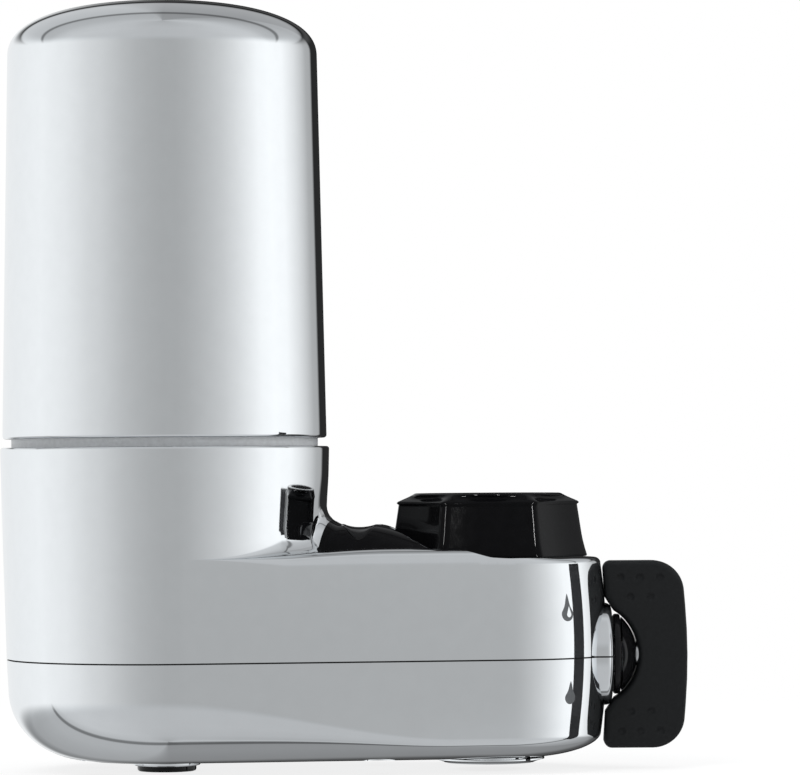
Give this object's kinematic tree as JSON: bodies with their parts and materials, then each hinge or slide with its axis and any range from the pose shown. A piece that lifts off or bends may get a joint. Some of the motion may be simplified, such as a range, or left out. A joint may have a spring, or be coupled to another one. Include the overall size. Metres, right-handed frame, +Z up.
{
  "type": "faucet mount water filter",
  "caption": "Chrome faucet mount water filter: domed cartridge beside a hexagonal threaded collar, with a side diverter handle and two outlets below.",
  "frame": {"origin": "on the mounting collar's axis, on top of its washer, where the faucet outlet seats", "axes": "+Z up along the collar's axis, +X from the cartridge towards the diverter handle, -Y the front"},
  "size_m": [0.137, 0.0658, 0.1534],
  "materials": {
    "chrome": "polished chrome",
    "black_gloss": "gloss",
    "black_grip": "fine matte",
    "grey_plastic": "satin",
    "white_plastic": "satin",
    "seal_rubber": "smooth",
    "steel": "plain steel",
    "carbon": "porous carbon"
  },
  "bodies": {
    "base": {"base_housing": "chrome", "base_bottom": "chrome", "case_screws": "steel", "valve_body": "white_plastic", "feed_duct": "white_plastic", "outlet_duct": "white_plastic", "filtered_nozzle": "chrome", "nozzle_insert": "black_gloss", "tap_outlet": "chrome", "spray_plate": "black_gloss", "outlet_screen": "steel", "inlet_stem": "white_plastic", "inlet_washer": "seal_rubber", "inlet_screen": "steel", "detent_ball": "steel", "detent_spring": "steel", "latch_cover": "white_plastic", "button_springs": "steel"},
    "cartridge": {"filter_shell": "chrome", "cartridge_canister": "white_plastic", "cartridge_base": "grey_plastic", "carbon_block": "carbon", "prefilter_sleeve": "white_plastic", "top_end_cap": "white_plastic", "bottom_end_cap": "white_plastic", "cap_seal": "seal_rubber", "nipple_seal": "seal_rubber", "feed_seal": "seal_rubber"},
    "collar": {"mounting_collar": "black_gloss"},
    "handle": {"handle_hub": "black_gloss", "handle_grip": "black_grip", "handle_screw": "steel", "diverter_spool": "grey_plastic", "spool_seals": "seal_rubber"},
    "button": {"release_button": "black_gloss"},
    "latch": {"latch_slide": "white_plastic"}
  },
  "joints": [
    {"name": "collar_turn", "type": "hinge", "parent": "base", "child": "collar", "pos_m": [0, 0, 0], "axis": [0, 0, 1], "continuous": true},
    {"name": "handle_turn", "type": "hinge", "parent": "base", "child": "handle", "pos_m": [0, 0, -0.0256], "axis": [1, 0, 0], "range_deg": [-45, 45]},
    {"name": "cartridge_lift", "type": "slide", "parent": "base", "child": "cartridge", "axis": [0, 0, 1], "range_m": [0, 0.045]},
    {"name": "button_press", "type": "slide", "parent": "base", "child": "button", "axis": [0, 0, -1], "range_m": [0, 0.0015], "stiffness_N_per_m": 800, "springref_m": -0.0005, "deforming": ["button_springs"]},
    {"name": "latch_draw", "type": "slide", "parent": "base", "child": "latch", "axis": [1, 0, 0], "range_m": [0, 0.0015]}
  ],
  "couplings": [
    {"joint": "latch_draw", "follows": "button_press", "ratio": 1}
  ]
}
